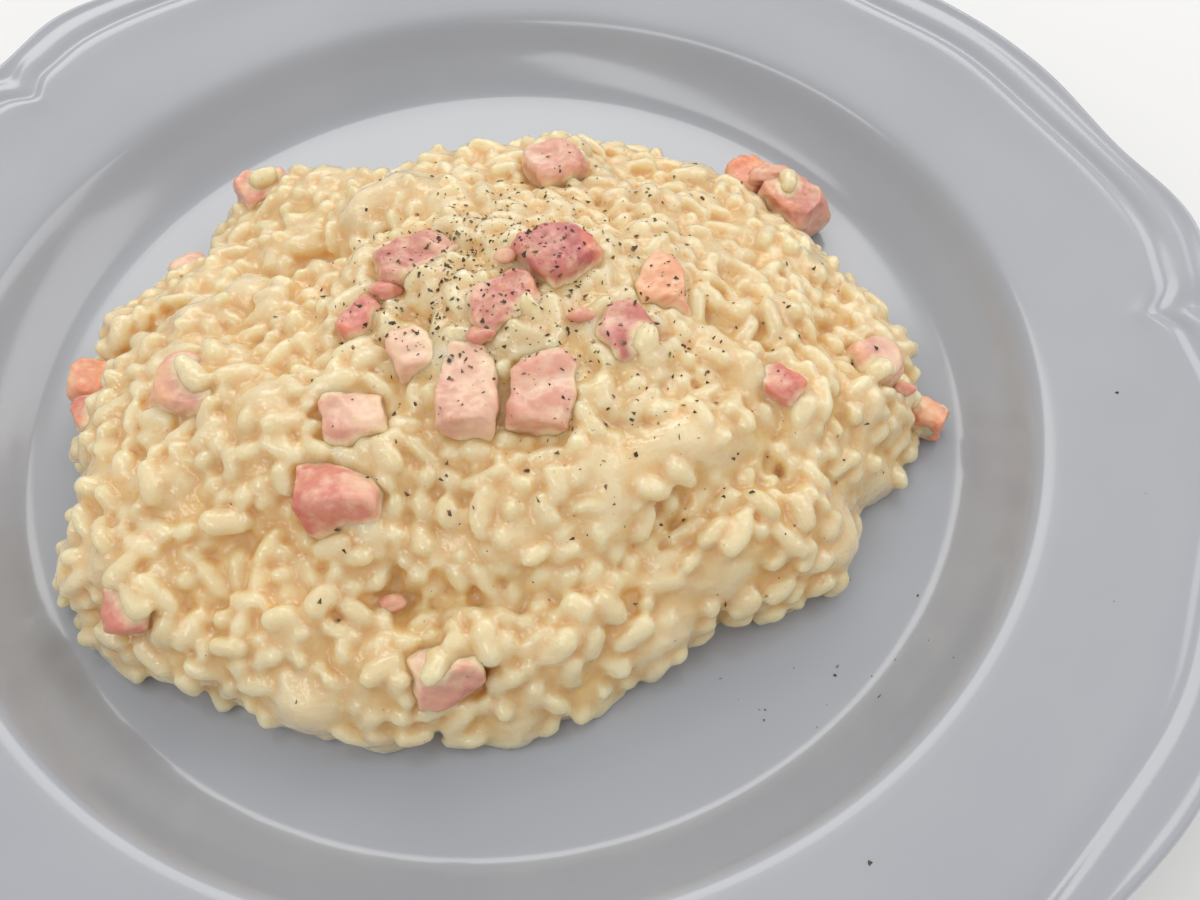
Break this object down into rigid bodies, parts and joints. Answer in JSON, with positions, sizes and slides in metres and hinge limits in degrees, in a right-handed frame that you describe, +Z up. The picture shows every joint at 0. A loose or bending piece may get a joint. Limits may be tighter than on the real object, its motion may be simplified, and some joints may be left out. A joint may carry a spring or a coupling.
{
  "type": "plate of parmesan risotto",
  "caption": "Creamy risotto with diced ham and ground pepper, heaped on a grey glazed dinner plate with a wide, five-lobed moulded rim.",
  "frame": {"origin": "on the table under the plate's centre", "axes": "+Z up, +X to the diner's right, -Y towards the diner, who sees the steep front of the heap"},
  "size_m": [0.284, 0.2842, 0.047],
  "materials": {
    "glaze": "glossy mid-grey glaze",
    "risotto": "moist, creamy sheen",
    "ham": "moist cured meat"
  },
  "bodies": {
    "root": {"plate": "glaze", "risotto": "risotto", "ham_01": "ham", "ham_02": "ham", "ham_03": "ham", "ham_04": "ham", "ham_05": "ham", "ham_06": "ham", "ham_07": "ham", "ham_08": "ham", "ham_09": "ham", "ham_10": "ham", "ham_11": "ham", "ham_12": "ham", "ham_13": "ham", "ham_14": "ham", "ham_15": "ham", "ham_16": "ham", "ham_17": "ham", "ham_18": "ham", "ham_19": "ham", "ham_20": "ham", "ham_21": "ham", "ham_22": "ham", "ham_23": "ham", "ham_24": "ham"}
  },
  "joints": []
}
